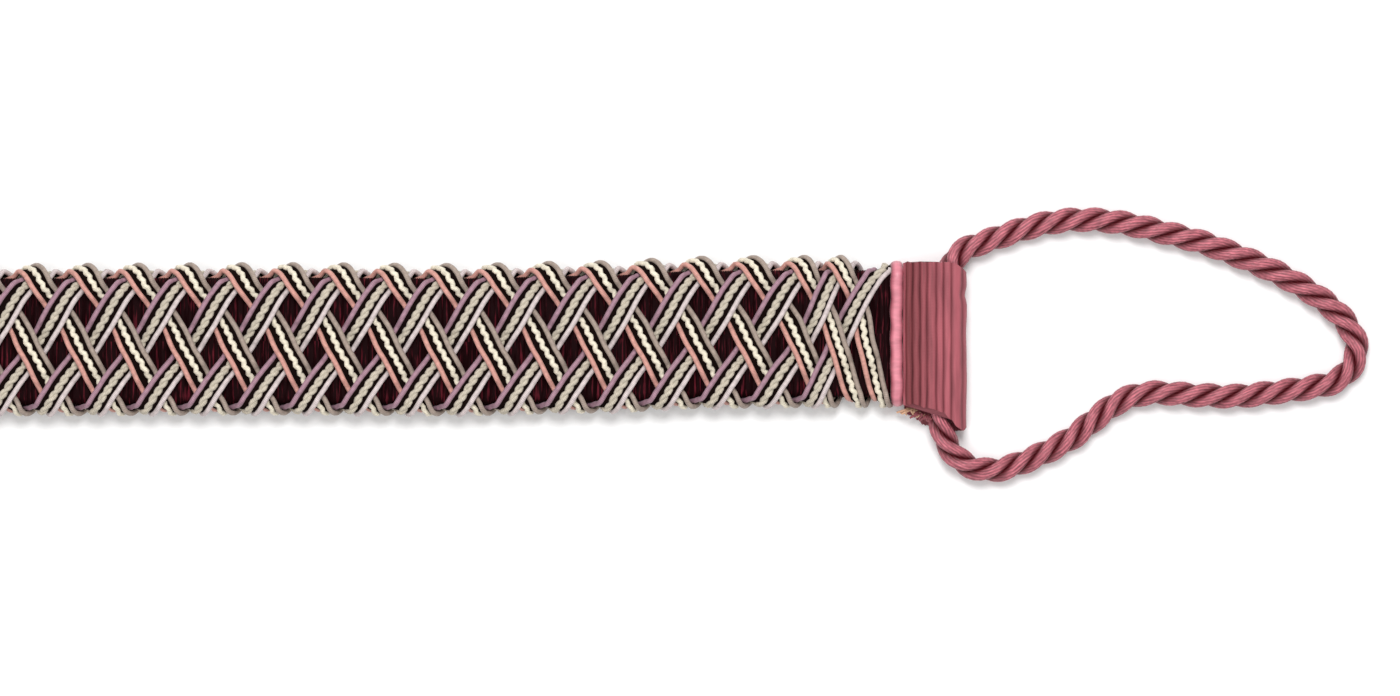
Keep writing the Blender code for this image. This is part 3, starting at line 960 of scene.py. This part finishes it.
def twisted_rope(colour, groove, strand_width):
    """Viscose rope of three strands, each twisted from fine yarns."""
    # Dusty pink and softly shiny, with a painted highlight on the strands' crowns, painted shade on their
    # flanks and wine-dark painted shade in the grooves; yarns 1 mm apart slant over each strand, darker
    # between them as painted shade, with painted glints that catch the light unevenly.
    made, tree, shader = new_material("viscose rope, three-strand twisted", 0.45, 0.0, 0.3)
    place = add_node(tree, "UVMap", "UV", uv_map="UVMap")
    round_rope = add_node(tree, "SeparateXYZ", "X", [("Vector", place)])
    strands = add_node(tree, "Math", "Value", [(0, round_rope), (1, 1 / strand_width)], operation="MULTIPLY")
    crown = add_node(tree, "Math", "Value", [(0, strands), (1, 0.5)], operation="PINGPONG")
    # Painted shade mask: 0 in the grooves between strands, 1 over the strands.
    depth = add_node(
        tree, "MapRange", "Result", [("Value", crown), ("From Min", 0.02), ("From Max", 0.27)],
        interpolation_type="SMOOTHSTEP",
    )
    # Painted highlight and shade: lighter on each strand's crown, darker on its flanks.
    crown_light_flank_shade = add_node(
        tree, "MapRange", "Result",
        [("Value", crown), ("From Min", 0.1), ("From Max", 0.45), ("To Min", 0.78), ("To Max", 1.16)],
        interpolation_type="SMOOTHSTEP",
    )
    slanted = add_node(tree, "Mapping", "Vector", [("Vector", place), ("Rotation", (0, 0, 0.5))])
    yarns = add_node(
        tree, "TexWave", "Fac",
        [("Vector", slanted), ("Scale", wave_scale(1.0)), ("Distortion", 2.5), ("Detail Scale", 1.2)],
        bands_direction="X",
    )
    # Painted glints: streaks along the yarns made lighter or darker.
    drawn_out = add_node(tree, "Mapping", "Vector", [("Vector", slanted), ("Scale", (1.6, 0.25, 1))])
    glints = add_node(tree, "TexNoise", "Fac", [("Vector", drawn_out), ("Scale", 1.0), ("Detail", 3.0)])
    uneven = add_node(
        tree, "MapRange", "Result",
        [("Value", glints), *NOISE_SPREAD, ("To Min", 0.6), ("To Max", 1.4)],
    )
    # Painted shade and highlight: darker between the yarns, lighter on them.
    yarn_tone = add_node(
        tree, "Mix", "Result",
        [("Factor", yarns), ("A", shade_of(colour, 0.68)), ("B", shade_of(colour, 1.2))],
        data_type="RGBA",
    )
    lightness = add_node(tree, "Math", "Value", [(0, crown_light_flank_shade), (1, uneven)], operation="MULTIPLY")
    rosy = add_node(tree, "VectorMath", "Vector", [(0, yarn_tone), ("Scale", lightness)], operation="SCALE")
    tone = add_node(
        tree, "Mix", "Result", [("Factor", depth), ("A", (*groove, 1)), ("B", rosy)],
        data_type="RGBA",
    )
    bump = add_node(tree, "Bump", "Normal", [("Height", yarns), ("Strength", 0.7), ("Distance", 0.2 * MM)])
    tree.links.new(tone, shader.inputs["Base Color"])
    tree.links.new(bump, shader.inputs["Normal"])
    return made


def ribbed_ribbon(colour, beside_piping, rib_width):
    """Grosgrain ribbon, its weft packed over thick ribs."""
    # Matt rose, each rib a little lighter or darker than the next, darkened between the ribs as painted shade,
    # and browner and darker over the ribs nearest the piping. Its texture runs over rib_width from one groove
    # to the next.
    made, tree, shader = new_material("grosgrain ribbon, woven", 0.62, 0.1, 0.3)
    place = add_node(tree, "UVMap", "UV", uv_map="UVMap")
    across = add_node(tree, "SeparateXYZ", "X", [("Vector", place)])
    ribs = add_node(tree, "Math", "Value", [(0, across), (1, 1 / rib_width)], operation="MULTIPLY")
    from_groove = add_node(tree, "Math", "Value", [(0, ribs), (1, 0.5)], operation="PINGPONG")
    # Painted shade: the colour is darkened to 0.66 in the grooves between the ribs and kept near full on their
    # crests.
    crest = add_node(
        tree, "MapRange", "Result",
        [("Value", from_groove), ("From Max", 0.3), ("To Min", 0.66), ("To Max", 1.04)],
        interpolation_type="SMOOTHSTEP",
    )
    # 0 at the ribbon's edge beside the piping, 1 from about five ribs along.
    near_piping = add_node(tree, "MapRange", "Result", [("Value", ribs), ("From Min", -0.5), ("From Max", 5.0)])
    piping_side_tone = add_node(
        tree, "Mix", "Result", [("Factor", near_piping), ("A", (*beside_piping, 1)), ("B", (*colour, 1))],
        data_type="RGBA",
    )
    lengthwise = add_node(
        tree, "Mapping", "Vector", [("Vector", place), ("Scale", (2.2 / rib_width, 0.06, 1))]
    )
    streaks = add_node(tree, "TexNoise", "Fac", [("Vector", lengthwise), ("Scale", 1.0), ("Detail", 4.0)])
    uneven = add_node(
        tree, "MapRange", "Result",
        [("Value", streaks), *NOISE_SPREAD, ("To Min", 0.74), ("To Max", 1.24)],
    )
    shade = add_node(tree, "Math", "Value", [(0, crest), (1, uneven)], operation="MULTIPLY")
    tone = add_node(tree, "VectorMath", "Vector", [(0, piping_side_tone), ("Scale", shade)], operation="SCALE")
    weft = add_node(
        tree, "TexWave", "Fac", [("Vector", place), ("Scale", wave_scale(0.5)), ("Distortion", 0.8)],
        bands_direction="Y",
    )
    bump = add_node(tree, "Bump", "Normal", [("Height", weft), ("Strength", 0.5), ("Distance", 0.08 * MM)])
    tree.links.new(tone, shader.inputs["Base Color"])
    tree.links.new(bump, shader.inputs["Normal"])
    return made


class TIEBACK_OT_stage(bpy.types.Operator):
    """Make the pale floor, the soft studio light and the camera above the right-hand end"""

    bl_idname = "tieback.stage"
    bl_label = "Stage"

    def execute(self, context):
        bm = bmesh.new()
        bmesh.ops.create_grid(bm, x_segments=1, y_segments=1, size=FLOOR_SIZE)
        bmesh.ops.translate(bm, verts=bm.verts, vec=(0, 0, FLOOR_HEIGHT))
        made, tree, shader = new_material("paper sweep, matt", 0.9, 0.0, 0.1)
        grain = add_node(tree, "TexNoise", "Fac", [("Scale", 400.0)])
        tone = add_node(
            tree, "Mix", "Result",
            [("Factor", grain), ("A", (0.86, 0.86, 0.86, 1)), ("B", (0.9, 0.9, 0.9, 1))],
            data_type="RGBA",
        )
        tree.links.new(tone, shader.inputs["Base Color"])
        floor = add_object("floor", bm, [made])

        world = bpy.data.worlds.new("studio")
        world.use_nodes = True
        background = world.node_tree.nodes["Background"]
        background.inputs["Color"].default_value = (1, 1, 1, 1)
        background.inputs["Strength"].default_value = SKY_STRENGTH
        context.scene.world = world
        context.scene.view_settings.view_transform = "Standard"
        for name, place, size, power in LAMPS:
            lamp = bpy.data.lights.new(name, "AREA")
            lamp.shape = "DISK"
            lamp.size = size
            lamp.energy = power
            light = bpy.data.objects.new(name, lamp)
            light.location = place
            aim = LAMP_AIM - Vector(place)
            light.rotation_euler = aim.to_track_quat("-Z", "Y").to_euler()
            context.scene.collection.objects.link(light)

        lens = bpy.data.cameras.new("camera")
        lens.sensor_fit = "HORIZONTAL"
        lens.sensor_width = SENSOR_WIDTH
        lens.lens = SENSOR_WIDTH * (CAMERA_PLACE.z - SLEEVE_CENTRE_Z) / VIEW_WIDTH
        camera = bpy.data.objects.new("camera", lens)
        camera.location = CAMERA_PLACE
        context.scene.collection.objects.link(camera)
        context.scene.camera = camera
        return {"FINISHED"}


class TIEBACK_OT_rope_loops(bpy.types.Operator):
    """Make the two rope loops, each a cord that runs through its cuff"""

    bl_idname = "tieback.rope_loops"
    bl_label = "Rope Loops"

    def execute(self, context):
        sizes, colours = context.scene.tieback_sizes, context.scene.tieback_colours
        radius = sizes.rope / 2
        route = [Vector((x * MM, y * MM, radius + z * MM)) for x, y, z in LOOP_ROUTE]
        middle_line = curve_through(route, ROPE_STEP)
        rings = rope_rings(middle_line, radius, sizes.rope_lead)
        strand_width = girth_of(rings) / MM / ROPE_STRANDS
        finish = twisted_rope(colours.rope, colours.rope_groove_shade, strand_width)
        for side in SIDES:
            bm = new_bmesh()
            skin_rings(bm, at_end(rings, side))
            loop = add_object(f"rope_loop_{side}", bm, [finish])
            place_on_body(loop, "rope", f"loop_{side}")
        return {"FINISHED"}


class TIEBACK_OT_core(bpy.types.Operator):
    """Make the padded core and the thread wound round it, coloured near-black as painted shade"""

    bl_idname = "tieback.core"
    bl_label = "Wound Core"

    def execute(self, context):
        colours = context.scene.tieback_colours
        finish = core_thread(colours.core_painted_shade, colours.core_painted_glint)
        bm = new_bmesh()
        skin_rings(bm, core_rings())
        core = add_object("thread_wound_core", bm, [finish])
        place_on_body(core, "wound_core", "core")
        return {"FINISHED"}


class TIEBACK_OT_strips(bpy.types.Operator):
    """Make the eight corded strips that are plaited round the core"""

    bl_idname = "tieback.strips"
    bl_label = "Plaited Strips"

    def execute(self, context):
        sizes, colours = context.scene.tieback_sizes, context.scene.tieback_colours
        # Painted shade: the woven ground is made near-black for the shade between the cords.
        ground = wound_thread("cotton ground, woven dark", colours.ground, 0.4, 0.85, 0.0, 0.05)
        for way, cords in CORDS.items():
            finishes = [
                wound_thread(f"viscose cord, wound {colour}", getattr(colours, colour))
                for _, _, colour in cords
            ]
            for number in range(1, STRIPS_EACH_WAY + 1):
                make_strip(number, way, sizes, [*finishes, ground])
        return {"FINISHED"}


class TIEBACK_OT_piping(bpy.types.Operator):
    """Make the satin roll that closes the plait at each end"""

    bl_idname = "tieback.piping"
    bl_label = "Satin Piping"

    def execute(self, context):
        colours = context.scene.tieback_colours
        rings = piping_rings()
        finish = rolled_satin(colours.satin, colours.satin_side_shade, girth_of(rings) / MM)
        for side in SIDES:
            bm = new_bmesh()
            skin_rings(bm, at_end(rings, side), ends=False)
            bmesh.ops.remove_doubles(bm, verts=bm.verts, dist=PIPING_JOIN)
            roll = add_object(f"satin_roll_{side}", bm, [finish])
            place_on_body(roll, "satin_piping", f"piping_{side}")
        return {"FINISHED"}


class TIEBACK_OT_cuffs(bpy.types.Operator):
    """Make the ribbed ribbon cuff that is folded round each end"""

    bl_idname = "tieback.cuffs"
    bl_label = "Ribbed Cuffs"

    def execute(self, context):
        sizes, colours = context.scene.tieback_sizes, context.scene.tieback_colours
        ribbon = cuff_rings(sizes.rib_height)
        rib_width = girth_of(ribbon) / MM * POINTS_PER_RIB / len(ribbon[0])
        finishes = [
            ribbed_ribbon(colours.ribbon, colours.ribbon_beside_piping, rib_width),
            wound_thread("viscose weft, frayed", colours.ribbon),
            wound_thread("cotton warp, frayed", colours.frayed),
        ]
        pieces = [(ribbon, 0)]
        for line, pale in fray_lines():
            thread = tube_rings(line, [UP] * len(line), FRAY_RADIUS, FRAY_SIDES)
            pieces.append((thread, 2 if pale else 1))
        for side in SIDES:
            bm = new_bmesh()
            for rings, finish in pieces:
                skin_rings(bm, at_end(rings, side), finish)
            cuff = add_object(f"ribbed_cuff_{side}", bm, finishes)
            place_on_body(cuff, "ribbed_cuff", f"cuff_{side}")
        return {"FINISHED"}


OPERATORS = (
    TIEBACK_OT_stage,
    TIEBACK_OT_rope_loops,
    TIEBACK_OT_core,
    TIEBACK_OT_strips,
    TIEBACK_OT_piping,
    TIEBACK_OT_cuffs,
)


class TIEBACK_PT_pieces(bpy.types.Panel):
    """The tieback's pieces, sizes and colours"""

    bl_idname = "TIEBACK_PT_pieces"
    bl_label = "Curtain Tieback"
    bl_space_type = "VIEW_3D"
    bl_region_type = "UI"
    bl_category = "Tieback"

    def draw(self, context):
        layout = self.layout
        for operator in OPERATORS:
            layout.operator(operator.bl_idname)
        for group in (context.scene.tieback_sizes, context.scene.tieback_colours):
            for name in group.__annotations__:
                layout.prop(group, name)


CLASSES = (TiebackSizes, TiebackColours, *OPERATORS, TIEBACK_PT_pieces)


def register():
    """Makes the classes, and the scene's sizes and colours, known to Blender."""
    for made in CLASSES:
        bpy.utils.register_class(made)
    bpy.types.Scene.tieback_sizes = bpy.props.PointerProperty(type=TiebackSizes)
    bpy.types.Scene.tieback_colours = bpy.props.PointerProperty(type=TiebackColours)


def unregister():
    """Takes away what register added."""
    del bpy.types.Scene.tieback_sizes
    del bpy.types.Scene.tieback_colours
    for made in reversed(CLASSES):
        bpy.utils.unregister_class(made)


def main():
    """Builds the tieback."""
    register()
    bpy.ops.tieback.stage()
    bpy.ops.tieback.rope_loops()
    bpy.ops.tieback.core()
    bpy.ops.tieback.strips()
    bpy.ops.tieback.piping()
    bpy.ops.tieback.cuffs()


if __name__ == "__main__":
    main()
